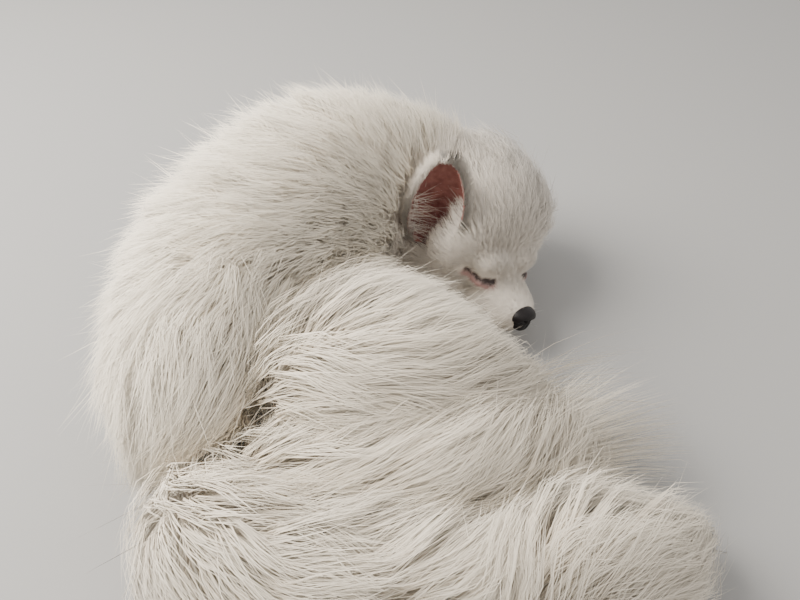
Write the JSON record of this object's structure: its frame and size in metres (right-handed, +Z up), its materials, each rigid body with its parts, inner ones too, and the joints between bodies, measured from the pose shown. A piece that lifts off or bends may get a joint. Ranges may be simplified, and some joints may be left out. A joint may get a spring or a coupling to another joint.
{
  "type": "sleeping pomeranian",
  "caption": "Life-size still model of a white pomeranian curled up asleep, with long coat, ruff and plumed tail.",
  "frame": {"origin": "on the floor, under the middle of the sleeping dog's box", "axes": "+Z up from the floor; +Y from the tail side to the shoulders, away from the viewer; +X to the side where the nose points"},
  "size_m": [0.3034, 0.343, 0.1442],
  "materials": {
    "coat": "long soft cream-white guard hair over a dense undercoat",
    "short_fur": "short plush cream-white fur",
    "ear_skin": "soft pink skin with thin hair inside, furred outside",
    "nose_leather": "moist black pebbled nose leather",
    "eye": "dark wet eye behind closed lids"
  },
  "bodies": {
    "root": {"neck": "coat", "chest": "coat", "loin": "coat", "rump": "coat", "foreleg_right": "coat", "foreleg_left": "coat", "hindleg_right": "coat", "hindleg_left": "coat", "tail_base": "coat", "tail_plume": "coat", "forepaw_right": "short_fur", "forepaw_left": "short_fur", "hindpaw_right": "short_fur", "hindpaw_left": "short_fur", "head": "short_fur", "lower_jaw": "short_fur", "ear_right": "ear_skin", "ear_left": "ear_skin", "nose": "nose_leather", "eye_right": "eye", "eye_left": "eye"}
  },
  "joints": []
}
